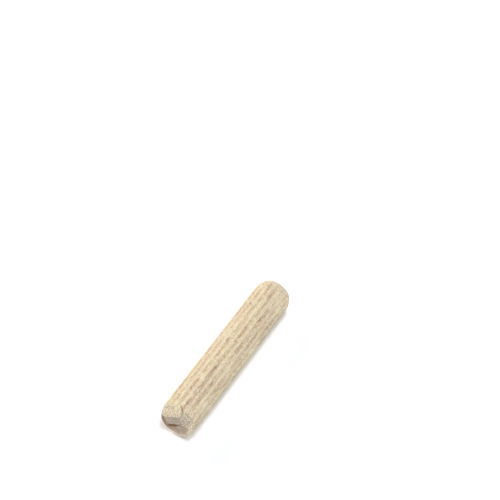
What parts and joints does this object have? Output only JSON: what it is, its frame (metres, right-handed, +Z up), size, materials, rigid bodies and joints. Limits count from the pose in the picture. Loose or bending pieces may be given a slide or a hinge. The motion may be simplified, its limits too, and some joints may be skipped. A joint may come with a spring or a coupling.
{
  "type": "dowel pin",
  "caption": "Short round hardwood pin with straight flutes all round and chamfered ends, glued into drilled holes to align and join panels.",
  "frame": {"origin": "under the middle of the pin, on the surface it lies on", "axes": "+X along the pin from one end face to the other, +Z up"},
  "size_m": [0.04, 0.008, 0.0079],
  "materials": {
    "wood": "raw, unfinished pale hardwood with rough fibres and end grain"
  },
  "bodies": {
    "root": {"dowel_pin": "wood"}
  },
  "joints": []
}
